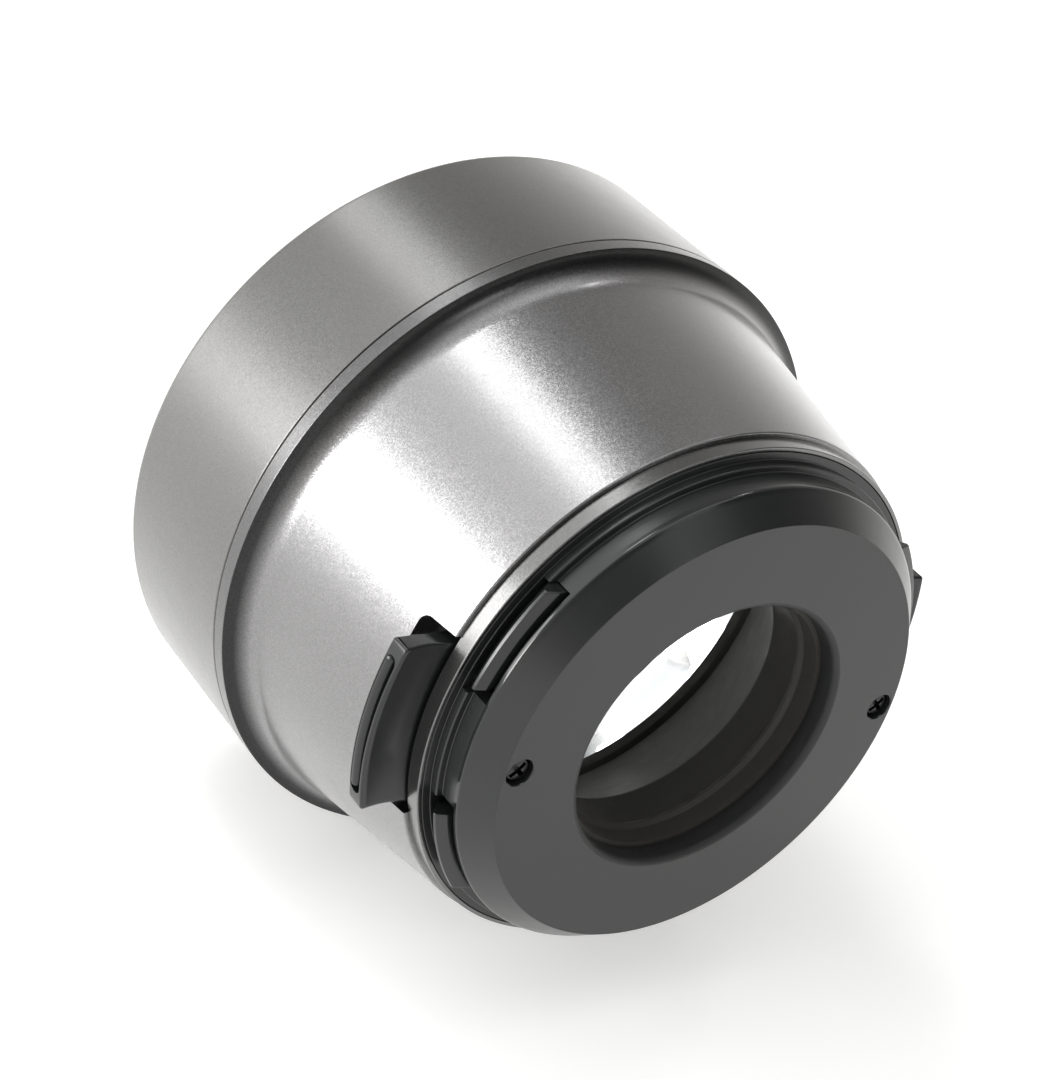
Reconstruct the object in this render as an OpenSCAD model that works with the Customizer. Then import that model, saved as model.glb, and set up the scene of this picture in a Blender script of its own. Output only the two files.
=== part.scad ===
// Camera teleconverter that clips inside the front ring of a camera lens.
// The optical axis lies along Y: the objective looks towards -Y, the clip mount is at +Y, +Z is up.
// The origin is on the axis, in the plane of the mount's seat. Two release buttons slide along X.

/* [Clip mount] */
// Diameter of the spigot that goes inside the camera lens's front ring
spigot_d = 51; // [50:0.1:53]
// Length of the spigot's straight land, from the seat to the chamfered nose
land_len = 2.3; // [2.1:0.1:3]
// Length of the chamfered nose, from the land to the rear face
nose_len = 2.7; // [2.2:0.1:3.4]
// How far the nose draws in from the land to the rear face
nose_step = 2.35; // [1.6:0.05:2.6]
// Height of the seat rib above the spigot
seat_lip = 0.7; // [0.4:0.05:1]
// Width of the seat rib along the axis
seat_w = 0.95; // [0.7:0.05:1.5]
// Width of the black ledge between the seat rib and the collar
ledge_w = 0.85; // [0.5:0.05:1.5]
// Diameter of the rear light opening
opening_d = 28.7; // [26:0.1:30]
// Round-over of the rear light opening
opening_round = 0.65; // [0.3:0.05:0.9]
// Thickness of the mount's rear plate
plate_t = 2.3; // [2:0.1:2.6]
// Wall of the spigot's skirt
skirt_wall = 1.5; // [1.2:0.1:1.8]
// Distance of the mount screws in from the edge of the rear face
screw_inset = 1.65; // [1.5:0.05:1.8]
// Thread diameter of the mount screws
screw_d = 1.6; // [1.4:0.1:1.8]
// Head diameter of the mount screws
screw_head_d = 2.5; // [2.2:0.1:2.8]
// Head height of the mount screws
screw_head_h = 0.8; // [0.6:0.1:1]
// Depth of the counterbores for the mount screws
screw_sink = 1.2; // [1:0.1:1.4]

/* [Release] */
// Inward travel of a release button
travel = 1.8; // [1.2:0.1:1.9]
// How far a button stands out of the barrel's rear rim at rest
button_proud = 4.05; // [3:0.05:5]
// Length of a button along Z
button_len = 17.4; // [14:0.1:17.8]
// Thickness of the sliders and their buttons along the axis
slider_t = 2.1; // [2:0.1:2.4]
// Depth of the scoop in a button's rear side
button_scoop = 0.25; // [0.1:0.05:0.4]
// Width of the cove along a button's outer face
cove_w = 1.3; // [1:0.05:1.5]
// Depth of the cove along a button's outer face
cove_depth = 0.4; // [0.25:0.05:0.5]
// How far the claws reach past the spigot at rest
claw_grip = 1.4; // [0.8:0.05:1.5]
// Station of the claws' front edge behind the seat
claw_y = 0.2; // [0.1:0.05:0.4]
// Thickness of a claw along the axis
claw_t = 1.4; // [1.1:0.05:1.5]
// Length of a claw along Z
claw_len = 9.55; // [8:0.05:9.7]
// Distance along Z from the button's middle to the near end of a claw
claw_from_z = 6.75; // [6.6:0.05:7]
// Rim left between a window and the nose
window_rim = 0.1; // [0.1:0.05:0.3]
// Wire diameter of the release springs
spring_wire = 0.25; // [0.2:0.05:0.3]
// Outside diameter of the release springs
spring_d = 1.75; // [1.5:0.05:1.9]
// Turns in a release spring
spring_turns = 4.5; // [3.5:0.5:5]
// Length of a release spring at rest
spring_len = 3.4; // [3:0.1:3.6]
// Distance of the release springs from the button's middle
spring_z = 4.3; // [4.1:0.1:4.5]
// Thickness of the guide plate under the sliders
guide_t = 1.6; // [1.2:0.1:2]

/* [Barrel] */
// Width of the collar between the mount and the barrel
collar_w = 1.8; // [1.5:0.1:2.5]
// Wall of the collar's outer band
collar_wall = 0.45; // [0.4:0.05:0.8]
// Height of the barrel's rear rim above the collar
rim_step = 0.45; // [0.3:0.05:0.8]
// Half angle of the barrel's cone
taper = 9.65; // [7:0.05:11]
// Length of the barrel's cone, from its rear rim to the front step
cone_len = 23.45; // [23:0.05:26]
// Wall of the barrel, measured along the radius
barrel_wall = 1.3; // [1.1:0.1:1.6]
// Thickness of the web across the barrel's rear end
web_t = 1.6; // [1.4:0.1:2]
// Height of the step from the cone up to the front ring
step_h = 2.06; // [1.9:0.02:3]
// Fillet between the cone and the step
step_fillet = 2; // [0.6:0.1:2]
// Width of the barrel's lip behind the front ring
lip_w = 1.65; // [1.2:0.05:2.5]
// Width of the button notches in the barrel
notch_w = 19.3; // [18.6:0.1:19.8]
// Corner radius of the button notches
notch_corner = 1; // [0.6:0.1:1.4]

/* [Front ring] */
// Length of the front ring
ring_len = 18.55; // [18:0.05:22]
// Wall of the front ring's sleeve
sleeve_wall = 1.65; // [1.3:0.05:1.8]
// Width of the front ring's rim, from its outer face to the accessory bore
rim_w = 3; // [2.6:0.1:3.4]
// Depth of the accessory bore
bore_len = 3.2; // [2.6:0.1:3.4]
// Round of the front ring's outer front edge
front_round = 0.8; // [0.4:0.1:1.2]

/* [Optics] */
// Wall of the front lens cell, and of the barrel's tube round it
front_cell_wall = 1.2; // [1:0.05:1.35]
// Width of the seat that each glass has at its rim
glass_seat = 1.35; // [1:0.05:1.6]
// Width of the lip that the rear glass sits against
rear_lip = 0.45; // [0.4:0.05:1]
// Edge thickness of the front crown glass
crown_edge = 4; // [3.4:0.1:4.4]
// Edge thickness of the front flint glass
flint_edge = 6.4; // [6.2:0.1:6.8]
// Radius of the front glass surface
front_surface_r = 150; // [146:2:200]
// Radius of the cemented surface in the front doublet
front_cement_r = 90; // [88:2:130]
// Radius of the front doublet's rear surface
front_rear_r = 250; // [230:5:400]
// Wall of the rear lens cell
rear_cell_wall = 1.55; // [1.2:0.05:1.8]
// Edge thickness of the rear negative glass
negative_edge = 6; // [5.8:0.1:6.4]
// Edge thickness of the rear positive glass
positive_edge = 3.8; // [3.4:0.1:4]
// Radius of the rear doublet's rear surface
rear_surface_r = 110; // [105:5:200]
// Radius of the cemented surface in the rear doublet
rear_cement_r = 110; // [105:5:200]
// Depth of the well in front of the web, down to the rear retaining ring
rear_well = 6.4; // [6:0.1:7]
// Thickness of the rear retaining ring
rear_ring_t = 1.6; // [1.3:0.1:2]
// Wall of the rear baffle
baffle_wall = 0.9; // [0.7:0.1:1]

/* [Hidden] */
$fn = 96;
glass_fn = 720;

// Clearances
fit_gap = 0.05;
slide_gap = 0.1;
run_gap = 0.35;
cement_gap = 0.03;
thread_gap = 0.02;
bevel = 0.15;
eps = 0.01;

// Mount radii and stations
spigot_r = spigot_d / 2;
face_r = spigot_r - nose_step;
seat_r = spigot_r + seat_lip;
ledge_r = seat_r + ledge_w;
collar_r = ledge_r + collar_wall;
rim_r = collar_r + rim_step;
skirt_r = spigot_r - skirt_wall;
opening_r = opening_d / 2;
y_face = land_len + nose_len;
y_plate = y_face - plate_t;
y_ledge = -seat_w;
y_rim = y_ledge - collar_w;
flange_t = 1.2;
y_flange = y_ledge - flange_t;

// Slider, guide plate and web stations
y_slider_rear = y_rim - run_gap;
y_slider_front = y_slider_rear - slider_t;
y_slider_mid = y_slider_rear - slider_t / 2;
y_guide_rear = y_slider_front - slide_gap;
y_web_rear = y_guide_rear - guide_t;
y_web_front = y_web_rear - web_t;

// Barrel
slope = tan(taper);
function cone_r(y) = rim_r + slope * (y_rim - y);
function shell_r(y) = cone_r(y) - barrel_wall;
y_step = y_rim - cone_len;
front_r = cone_r(y_step) + step_h;
y_part = y_step - lip_w;
y_front = y_part - ring_len;

// Front ring, front tube of the barrel and front lens cell
accessory_r = front_r - rim_w;
y_bore = y_front + bore_len;
sleeve_r = front_r - sleeve_wall;
tube_r = sleeve_r - fit_gap;
front_cell_r = tube_r - front_cell_wall;
front_bore_r = front_cell_r - front_cell_wall;
front_glass_r = front_bore_r - fit_gap;
front_clear_r = front_glass_r - glass_seat;
retainer_t = 1.1;
y_tube = y_bore + retainer_t;
bezel_depth = 1.85;
y_crown = y_tube + bezel_depth;
y_flint = y_crown + crown_edge;
y_front_seat = y_flint + flint_edge;
seat_t = 1.5;
y_front_lip = y_front_seat + seat_t;
shoulder = 0.4;
y_shoulder = y_step - shoulder;

// Rear lens cell
cell_flange_t = 1.5;
cell_clear = 0.6;
cell_flange_r = shell_r(y_web_front) - cell_clear;
cell_flange_w = 2.8;
rear_cell_r = cell_flange_r - cell_flange_w;
rear_bore_r = rear_cell_r - rear_cell_wall;
rear_glass_r = rear_bore_r - fit_gap;
rear_clear_r = rear_glass_r - glass_seat;
rear_lip_r = rear_glass_r - rear_lip;
y_ring_rear = y_web_front - rear_well;
y_negative = y_ring_rear - rear_ring_t;
y_positive = y_negative - negative_edge;
y_rear_seat = y_positive - positive_edge;
cell_lip_t = 1.2;
cell_lip_edge = 0.15;
y_cell_front = y_rear_seat - cell_lip_t;
cell_mouth_r = rear_cell_r - 0.55;

// Rear baffle: a tube behind the opening that flares to the rear glass
baffle_step = 0.45;
baffle_r = opening_r - baffle_step;
ridge_h = 0.4;
ridge_w = 0.5;
y_ridge = 0.3;
y_flare = y_slider_front + 1.1;
y_flare_end = y_ring_rear + 0.3;
function flare_r(y) = baffle_r + (rear_clear_r - baffle_r) * (y_flare - y) / (y_flare - y_flare_end);
baffle_flange_t = 0.9;
web_bore_r = flare_r(y_web_front) + baffle_wall + 0.25;
guide_bore_r = flare_r(y_web_rear) + baffle_wall + 0.25;

// Screws and bosses
screw_r = screw_d / 2;
screw_pitch_r = face_r - screw_inset;
screw_hole_r = screw_r + 0.1;
head_hole_r = screw_head_d / 2 + 0.15;
boss_r = screw_r + 0.6;
boss_shoulder_r = boss_r + 0.9;
y_head = y_face - screw_sink;
screw_tip = 0.1;
cross_w = 0.35;
cross_len = 1.5;
cross_depth = 0.5;
cell_screw_n = 3;
cell_screw_r = cell_flange_r - cell_flange_w / 2;
cell_screw_from = 90;
grub_n = 3;
grub_from = 30;
grub_r = 0.8;
grub_bite = 0.5;
y_grub = y_flint + flint_edge / 2;

// Sliders and claws
plate_in_r = screw_pitch_r - boss_r - slide_gap - 1.4;
plate_out_r = skirt_r + 0.4;
claw_to_z = claw_from_z + claw_len;
plate_half = claw_to_z + 0.5;
plate_from_x = 12.5;
post_gap = 0.3;
post_r = skirt_r - post_gap;
post_wall = 1.7;
claw_r = spigot_r + claw_grip;
claw_edge = 0.15;
claw_foot_r = spigot_r + 0.35;
claw_tip_y = claw_y + claw_t / 2;
button_r = rim_r + button_proud;
button_from_x = plate_out_r - 2;
slot_r = boss_r + slide_gap;
scoop_w = 4.6;
scoop_r = scoop_w * scoop_w / (8 * button_scoop);
cove_end = 1.3;
cove_r = (cove_w * cove_w / 4 + cove_depth * cove_depth) / (2 * cove_depth);

// Windows for the claws
window_from_z = claw_from_z - 1.15;
window_to_z = claw_to_z + 0.15;

// Springs sit between blocks on the guide plate and pockets in the sliders
block_t = 0.8;
block_w = 2.2;
pocket_w = block_w + 0.4;
block_x = guide_bore_r + 0.2 + block_t;
spring_from_x = block_x;
spring_sides = 6;
spring_steps = 8;

// Revolves a profile drawn as [radius, station] about the optical axis.
module turned() {
    rotate([-90, 0, 0]) rotate_extrude() children();
}

module ring(r_in, r_out, y_from, y_to) {
    turned() translate([r_in, y_from]) square([r_out - r_in, y_to - y_from]);
}

// A round bar along the axis, standing at a point of the XZ plane.
module bar(r, y_from, y_to, x, z) {
    translate([x, y_from, z]) rotate([-90, 0, 0]) cylinder(r = r, h = y_to - y_from);
}

// A block given by its corners.
module block(low, high) {
    translate(low) cube(high - low);
}

module on_both_sides() {
    children();
    mirror([1, 0, 0]) children();
}

module above_and_below() {
    children();
    mirror([0, 0, 1]) children();
}

module around(count, from) {
    for (i = [0 : count - 1]) rotate([0, from + i * 360 / count, 0]) children();
}

// A pan head on its shank, head towards +Y, with a cross cut in the head.
module pan_screw(y_under_head, y_tip) {
    y_top = y_under_head + screw_head_h;
    difference() {
        union() {
            bar(screw_head_d / 2, y_under_head, y_top, 0, 0);
            bar(screw_r, y_tip, y_under_head + eps, 0, 0);
        }
        for (a = [45, 135])
            rotate([0, a, 0]) translate([-cross_len / 2, y_top - cross_depth, -cross_w / 2])
                cube([cross_len, cross_depth + eps, cross_w]);
    }
}

module front_ring() {
    y_back = y_part - fit_gap;
    color("dimgray") turned() difference() {
        polygon([
            [sleeve_r, y_back], [front_r - bevel, y_back], [front_r, y_back - bevel], [front_r, y_front],
            [accessory_r + bevel, y_front], [accessory_r, y_front + bevel], [accessory_r, y_bore],
            [sleeve_r, y_bore]
        ]);
        difference() {
            translate([front_r - front_round, y_front - eps]) square(front_round + eps);
            translate([front_r - front_round, y_front + front_round]) circle(front_round);
        }
    }
}

// The bare bezel round the front glass, screwed into the front lens cell.
module front_retaining_ring() {
    bezel_r = accessory_r - 0.3;
    land = 0.4;
    color("black") turned() polygon([
        [bezel_r, y_bore], [sleeve_r - fit_gap, y_bore], [sleeve_r - fit_gap, y_tube], [front_glass_r, y_tube],
        [front_glass_r, y_crown], [front_clear_r, y_crown], [front_clear_r, y_crown - land]
    ]);
}

// A disc of glass with flat rims, the base of every lens element.
module glass_disc(r, y_from, y_to) {
    translate([0, y_from]) square([r, y_to - y_from]);
}

function sag(radius, r) = radius - sqrt(radius * radius - r * r);

// The cap of glass that stands out of a rim plane, towards +Y or -Y.
module glass_cap(radius, r, y, way) {
    intersection() {
        translate([0, y + way * (sag(radius, r) - radius)]) circle(radius, $fn = glass_fn);
        translate([0, way > 0 ? y - eps : y - sag(radius, r) - eps]) square([r, sag(radius, r) + 2 * eps]);
    }
}

module front_crown_glass() {
    color("lightblue", 0.5) turned() {
        glass_disc(front_glass_r, y_crown, y_flint);
        glass_cap(front_surface_r, front_clear_r, y_crown, -1);
        glass_cap(front_cement_r, front_clear_r, y_flint, 1);
    }
}

module front_flint_glass() {
    color("lightblue", 0.5) turned() difference() {
        union() {
            glass_disc(front_glass_r, y_flint, y_front_seat);
            glass_cap(front_rear_r, front_clear_r, y_front_seat, 1);
        }
        glass_cap(front_cement_r + cement_gap, front_clear_r + cement_gap, y_flint + cement_gap, 1);
        translate([0, y_flint - eps]) square([front_clear_r + cement_gap, cement_gap + eps]);
    }
}

module front_lens_cell() {
    color("black") difference() {
        turned() polygon([
            [front_bore_r, y_tube], [front_cell_r - fit_gap, y_tube], [front_cell_r - fit_gap, y_shoulder],
            [front_bore_r, y_shoulder], [front_bore_r, y_front_lip], [front_clear_r, y_front_lip],
            [front_clear_r, y_front_seat], [front_bore_r, y_front_seat]
        ]);
        around(grub_n, grub_from)
            grub_bar(grub_r + thread_gap, front_cell_r - grub_bite - fit_gap, front_cell_r + 1);
    }
}

// A short bar along the radius at the grub screws' station.
module grub_bar(r, r_from, r_to) {
    translate([r_from, y_grub, 0]) rotate([0, 90, 0]) cylinder(r = r, h = r_to - r_from);
}

module front_cell_grub_screws() {
    color("silver") around(grub_n, grub_from) difference() {
        grub_bar(grub_r, front_cell_r - grub_bite, tube_r - fit_gap);
        translate([tube_r - fit_gap - cross_depth, y_grub - cross_w / 2, -grub_r])
            cube([cross_depth + eps, cross_w, 2 * grub_r]);
    }
}

// An open cone that joins the two lens cells and keeps light off the barrel.
module middle_baffle() {
    foot = 0.7;
    color("black") turned() polygon([
        [cell_mouth_r, y_cell_front], [front_clear_r, y_front_lip], [front_glass_r - fit_gap, y_front_lip],
        [front_glass_r - fit_gap, y_front_lip + foot], [rear_cell_r, y_cell_front]
    ]);
}

// The outline of the barrel without its notches, from the rear rim round to the web.
module barrel_profile() {
    web_in = web_bore_r;
    fillet = min(step_fillet, 1.1 * (front_r - bevel - cone_r(y_step)));
    fillet_y = y_step + fillet;
    fillet_x = cone_r(fillet_y) + fillet / cos(taper);
    tangent = [fillet_x - fillet * cos(taper), fillet_y - fillet * sin(taper)];
    difference() {
        polygon([
            [shell_r(y_rim), y_rim], [rim_r - bevel, y_rim], [cone_r(y_rim - bevel), y_rim - bevel], tangent,
            [fillet_x, y_step], [front_r - bevel, y_step], [front_r, y_step - bevel],
            [front_r, y_part + bevel], [front_r - bevel, y_part], [tube_r, y_part], [tube_r, y_tube],
            [front_cell_r, y_tube],
            [front_cell_r, y_shoulder], [shell_r(y_shoulder), y_shoulder], [shell_r(y_web_front), y_web_front],
            [web_in, y_web_front], [web_in, y_web_rear], [shell_r(y_web_rear), y_web_rear]
        ]);
        translate([fillet_x, fillet_y]) circle(fillet);
    }
}

// The notch that a button stands in, open at the rear rim, with rounded front corners.
module button_notch() {
    depth = y_rim - y_web_rear;
    inset = notch_w / 2 - notch_corner;
    far_x = front_r + 1;
    from_x = shell_r(y_rim) - 3;
    block([from_x, y_web_rear + notch_corner, -notch_w / 2], [far_x, y_web_rear + depth + 1, notch_w / 2]);
    block([from_x, y_web_rear, -inset], [far_x, y_web_rear + notch_corner + eps, inset]);
    for (z = [-inset, inset])
        translate([from_x, y_web_rear + notch_corner, z]) rotate([0, 90, 0])
            cylinder(r = notch_corner, h = far_x - from_x);
}

module main_barrel() {
    color("gray") difference() {
        turned() barrel_profile();
        on_both_sides() {
            button_notch();
            bar(screw_r + thread_gap, y_web_front - 1, y_web_rear + 1, screw_pitch_r, 0);
        }
        around(cell_screw_n, cell_screw_from)
            bar(screw_r + thread_gap, y_web_front - 1, y_web_rear + 1, cell_screw_r, 0);
        around(grub_n, grub_from) grub_bar(grub_r + thread_gap, front_cell_r - 1, tube_r + 1);
    }
}

module rear_positive_glass() {
    color("lightblue", 0.5) turned() {
        glass_disc(rear_glass_r, y_rear_seat, y_positive);
        glass_cap(rear_cement_r, rear_clear_r, y_positive, 1);
    }
}

module rear_negative_glass() {
    color("lightblue", 0.5) turned() difference() {
        glass_disc(rear_glass_r, y_positive, y_negative);
        glass_cap(rear_surface_r, rear_clear_r, y_negative, -1);
        glass_cap(rear_cement_r + cement_gap, rear_clear_r + cement_gap, y_positive + cement_gap, 1);
        translate([0, y_positive - eps]) square([rear_clear_r + cement_gap, cement_gap + eps]);
    }
}

module rear_retaining_ring() {
    slant = 0.5;
    color("black") turned() polygon([
        [rear_clear_r, y_negative], [rear_bore_r - fit_gap, y_negative], [rear_bore_r - fit_gap, y_ring_rear],
        [rear_clear_r + slant, y_ring_rear], [rear_clear_r, y_ring_rear - slant]
    ]);
}

module rear_lens_cell() {
    y_flange_front = y_web_front - cell_flange_t;
    color("black") difference() {
        turned() polygon([
            [rear_bore_r, y_web_front], [cell_flange_r, y_web_front], [cell_flange_r, y_flange_front],
            [rear_cell_r, y_flange_front], [rear_cell_r, y_cell_front], [cell_mouth_r, y_cell_front],
            [rear_lip_r, y_rear_seat - cell_lip_edge], [rear_lip_r, y_rear_seat], [rear_bore_r, y_rear_seat]
        ]);
        around(cell_screw_n, cell_screw_from)
            bar(screw_hole_r, y_flange_front - 1, y_web_front + 1, cell_screw_r, 0);
    }
}

module rear_cell_screws() {
    y_under_head = y_web_front - cell_flange_t;
    length = cell_flange_t + web_t - screw_tip;
    color("silver") around(cell_screw_n, cell_screw_from) translate([cell_screw_r, y_under_head, 0])
        mirror([0, 1, 0]) pan_screw(0, -length);
}

// The black hood inside the opening: a tube with one ridge, then a flare down to the rear glass.
module rear_baffle() {
    out_r = baffle_r + baffle_wall;
    flange_r = rear_bore_r - fit_gap;
    y_foot = y_web_front - baffle_flange_t;
    color("black") turned() polygon([
        [baffle_r, y_plate], [baffle_r, y_ridge + ridge_w], [baffle_r - ridge_h, y_ridge],
        [baffle_r, y_ridge - ridge_w], [baffle_r, y_flare], [rear_clear_r, y_flare_end],
        [rear_clear_r + baffle_wall, y_flare_end], [flare_r(y_foot) + baffle_wall, y_foot], [flange_r, y_foot],
        [flange_r, y_web_front], [flare_r(y_web_front) + baffle_wall, y_web_front], [out_r, y_flare],
        [out_r, y_plate]
    ]);
}

// The plate that the sliders run on, with the blocks that the springs push against.
module guide_plate() {
    out_r = shell_r(y_rim) - run_gap;
    color("black") difference() {
        union() {
            ring(guide_bore_r, out_r, y_web_rear, y_guide_rear);
            on_both_sides() above_and_below() block(
                [block_x - block_t, y_guide_rear - eps, spring_z - block_w / 2],
                [block_x, y_slider_rear - slide_gap, spring_z + block_w / 2]);
        }
        on_both_sides() bar(screw_hole_r, y_web_rear - 1, y_guide_rear + 1, screw_pitch_r, 0);
    }
}

module rear_collar() {
    lip_w_in = 2.5;
    color("darkgray") turned() polygon([
        [collar_r - lip_w_in, y_rim], [collar_r - bevel, y_rim], [collar_r, y_rim + bevel],
        [collar_r, y_ledge], [ledge_r + fit_gap, y_ledge], [ledge_r + fit_gap, y_flange],
        [collar_r - lip_w_in, y_flange]
    ]);
}

// The mount's turned form: ledge, seat rib, land, chamfered nose, rear plate and rounded opening.
module mount_profile() {
    edge_r = opening_r + opening_round;
    difference() {
        polygon([
            [skirt_r, y_flange], [ledge_r, y_flange], [ledge_r, y_ledge], [seat_r, y_ledge], [seat_r, 0],
            [spigot_r, 0], [spigot_r, land_len], [face_r, y_face], [opening_r, y_face], [opening_r, y_plate],
            [skirt_r, y_plate]
        ]);
        difference() {
            translate([opening_r - eps, y_face - opening_round]) square(opening_round + eps);
            translate([edge_r, y_face - opening_round]) circle(opening_round);
        }
    }
}

module mount_ring() {
    window_from = y_ledge + bevel;
    window_to = land_len - window_rim;
    color([0.12, 0.12, 0.12]) difference() {
        union() {
            turned() mount_profile();
            on_both_sides() {
                bar(boss_shoulder_r, y_slider_rear + slide_gap, y_plate + eps, screw_pitch_r, 0);
                bar(boss_r, y_guide_rear, y_slider_rear + slide_gap + eps, screw_pitch_r, 0);
            }
        }
        on_both_sides() {
            above_and_below() block([skirt_r * 0.6, window_from, window_from_z],
                [collar_r + 1, window_to, window_to_z]);
            bar(screw_hole_r, y_guide_rear - 1, y_face + 1, screw_pitch_r, 0);
            bar(head_hole_r, y_head, y_face + 1, screw_pitch_r, 0);
        }
    }
}

module mount_screws() {
    color("darkslategray") for (x = [-screw_pitch_r, screw_pitch_r])
        translate([x, 0, 0]) pan_screw(y_head, y_web_front + screw_tip);
}

// One release: a plate on the guide, a button through the notch, and two claws that reach the windows.
module release_slider() {
    claw_rear = claw_y + claw_t;
    cove_at = button_r + cove_r - cove_depth;
    cove_z = button_len / 2 - cove_end;
    pocket_end = spring_from_x + spring_len;
    color([0.15, 0.15, 0.15]) difference() {
        union() {
            intersection() {
                ring(plate_in_r, plate_out_r, y_slider_front, y_slider_rear);
                block([plate_from_x, y_slider_front, -plate_half],
                    [plate_out_r + 1, y_slider_rear, plate_half]);
            }
            intersection() {
                ring(plate_in_r, button_r, y_slider_front, y_slider_rear);
                block([button_from_x, y_slider_front, -button_len / 2],
                    [button_r + 1, y_slider_rear, button_len / 2]);
            }
            intersection() {
                union() {
                    ring(post_r - post_wall, post_r, y_slider_rear - eps, claw_rear);
                    turned() polygon([
                        [post_r - eps, claw_y], [claw_foot_r, claw_y], [claw_r, claw_tip_y],
                        [claw_r, claw_tip_y + claw_edge], [claw_foot_r, claw_rear], [post_r - eps, claw_rear]
                    ]);
                }
                above_and_below() block([0, y_slider_front, claw_from_z],
                    [claw_r + 1, claw_rear + 1, claw_to_z]);
            }
        }
        // Slot for the boss, which guides the slider and stops it at both ends
        bar(slot_r, y_slider_front - 1, y_slider_rear + 1, screw_pitch_r, 0);
        bar(slot_r, y_slider_front - 1, y_slider_rear + 1, screw_pitch_r + travel, 0);
        block([screw_pitch_r, y_slider_front - 1, -slot_r],
            [screw_pitch_r + travel, y_slider_rear + 1, slot_r]);
        // Pockets for the springs
        above_and_below() block([0, y_slider_front - 1, spring_z - pocket_w / 2],
            [pocket_end, y_slider_rear + eps, spring_z + pocket_w / 2]);
        // Scoop in the rear side, and the cove along the outer face
        translate([button_r - scoop_w / 2 - bevel, y_slider_rear + scoop_r - button_scoop, 0])
            cylinder(r = scoop_r, h = button_len + 1, center = true);
        intersection() {
            turned() translate([cove_at, y_slider_mid]) circle(cove_r);
            block([0, y_slider_front - 1, -cove_z], [cove_at + cove_r + 1, y_slider_rear + 1, cove_z]);
        }
    }
}

module release_slider_left() {
    release_slider();
}

module release_slider_right() {
    mirror([1, 0, 0]) release_slider();
}

// A helix of round wire along X, as one closed tube.
module release_spring(z) {
    coil_r = (spring_d - spring_wire) / 2;
    count = round(spring_turns * spring_steps);
    wire_r = spring_wire / 2;
    x_from = spring_from_x + wire_r + fit_gap;
    x_run = spring_len - 2 * (wire_r + fit_gap);
    function wire_point(i, j) =
        let (a = 360 * i / spring_steps, b = 360 * j / spring_sides, r = coil_r + wire_r * cos(b))
        [x_from + x_run * i / count + wire_r * sin(b), y_slider_mid + r * cos(a), z + r * sin(a)];
    points = [for (i = [0 : count], j = [0 : spring_sides - 1]) wire_point(i, j)];
    function at(i, j) = i * spring_sides + j % spring_sides;
    walls = [for (i = [0 : count - 1], j = [0 : spring_sides - 1], half = [0, 1])
        half == 0 ? [at(i, j), at(i, j + 1), at(i + 1, j + 1)] : [at(i, j), at(i + 1, j + 1), at(i + 1, j)]];
    start = [for (j = [1 : spring_sides - 2]) [at(0, 0), at(0, j + 1), at(0, j)]];
    end = [for (j = [1 : spring_sides - 2]) [at(count, 0), at(count, j), at(count, j + 1)]];
    polyhedron(points, concat(walls, start, end));
}

module release_springs_left() {
    color("silver") for (z = [-spring_z, spring_z]) release_spring(z);
}

module release_springs_right() {
    color("silver") mirror([1, 0, 0]) for (z = [-spring_z, spring_z]) release_spring(z);
}

front_ring();
front_retaining_ring();
front_crown_glass();
front_flint_glass();
front_lens_cell();
front_cell_grub_screws();
middle_baffle();
main_barrel();
rear_positive_glass();
rear_negative_glass();
rear_retaining_ring();
rear_lens_cell();
rear_cell_screws();
rear_baffle();
guide_plate();
rear_collar();
mount_ring();
mount_screws();
release_slider_left();
release_slider_right();
release_springs_left();
release_springs_right();
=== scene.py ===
"""Looks of a clip-on camera teleconverter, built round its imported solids.

Shapes are worked out in millimetres: the optical axis lies along Y, the objective looks towards -Y,
the clip mount is at +Y, the release buttons slide along X and +Z is up.
"""
import math

import bmesh
import bpy
from mathutils import Matrix, Vector


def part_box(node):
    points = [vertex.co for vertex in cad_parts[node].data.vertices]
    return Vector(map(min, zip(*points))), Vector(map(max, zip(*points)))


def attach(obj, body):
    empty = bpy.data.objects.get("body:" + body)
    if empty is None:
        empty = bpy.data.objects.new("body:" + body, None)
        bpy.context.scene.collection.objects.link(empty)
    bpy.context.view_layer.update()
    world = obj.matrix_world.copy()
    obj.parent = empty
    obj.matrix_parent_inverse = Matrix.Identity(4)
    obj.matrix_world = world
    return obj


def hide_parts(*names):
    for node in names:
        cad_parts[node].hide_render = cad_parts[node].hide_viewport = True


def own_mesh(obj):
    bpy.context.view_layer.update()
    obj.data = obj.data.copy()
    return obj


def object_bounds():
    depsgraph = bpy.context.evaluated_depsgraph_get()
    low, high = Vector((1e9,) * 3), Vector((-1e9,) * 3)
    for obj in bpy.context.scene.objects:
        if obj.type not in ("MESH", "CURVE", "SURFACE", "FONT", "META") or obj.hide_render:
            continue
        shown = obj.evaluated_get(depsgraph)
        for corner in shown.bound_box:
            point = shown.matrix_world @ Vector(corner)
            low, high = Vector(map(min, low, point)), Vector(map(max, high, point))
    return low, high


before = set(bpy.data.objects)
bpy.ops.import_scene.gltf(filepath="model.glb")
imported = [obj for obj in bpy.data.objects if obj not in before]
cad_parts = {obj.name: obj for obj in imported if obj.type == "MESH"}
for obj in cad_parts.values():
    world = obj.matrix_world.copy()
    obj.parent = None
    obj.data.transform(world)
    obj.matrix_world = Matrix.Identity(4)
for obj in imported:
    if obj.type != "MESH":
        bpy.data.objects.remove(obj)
cad_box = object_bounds()

MM = 0.001
TURN = 2 * math.pi
SEGMENTS = 288
ARC_STEP = math.radians(15)
# How far a cutting tool reaches past what it cuts
PAST = 1.0


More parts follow.
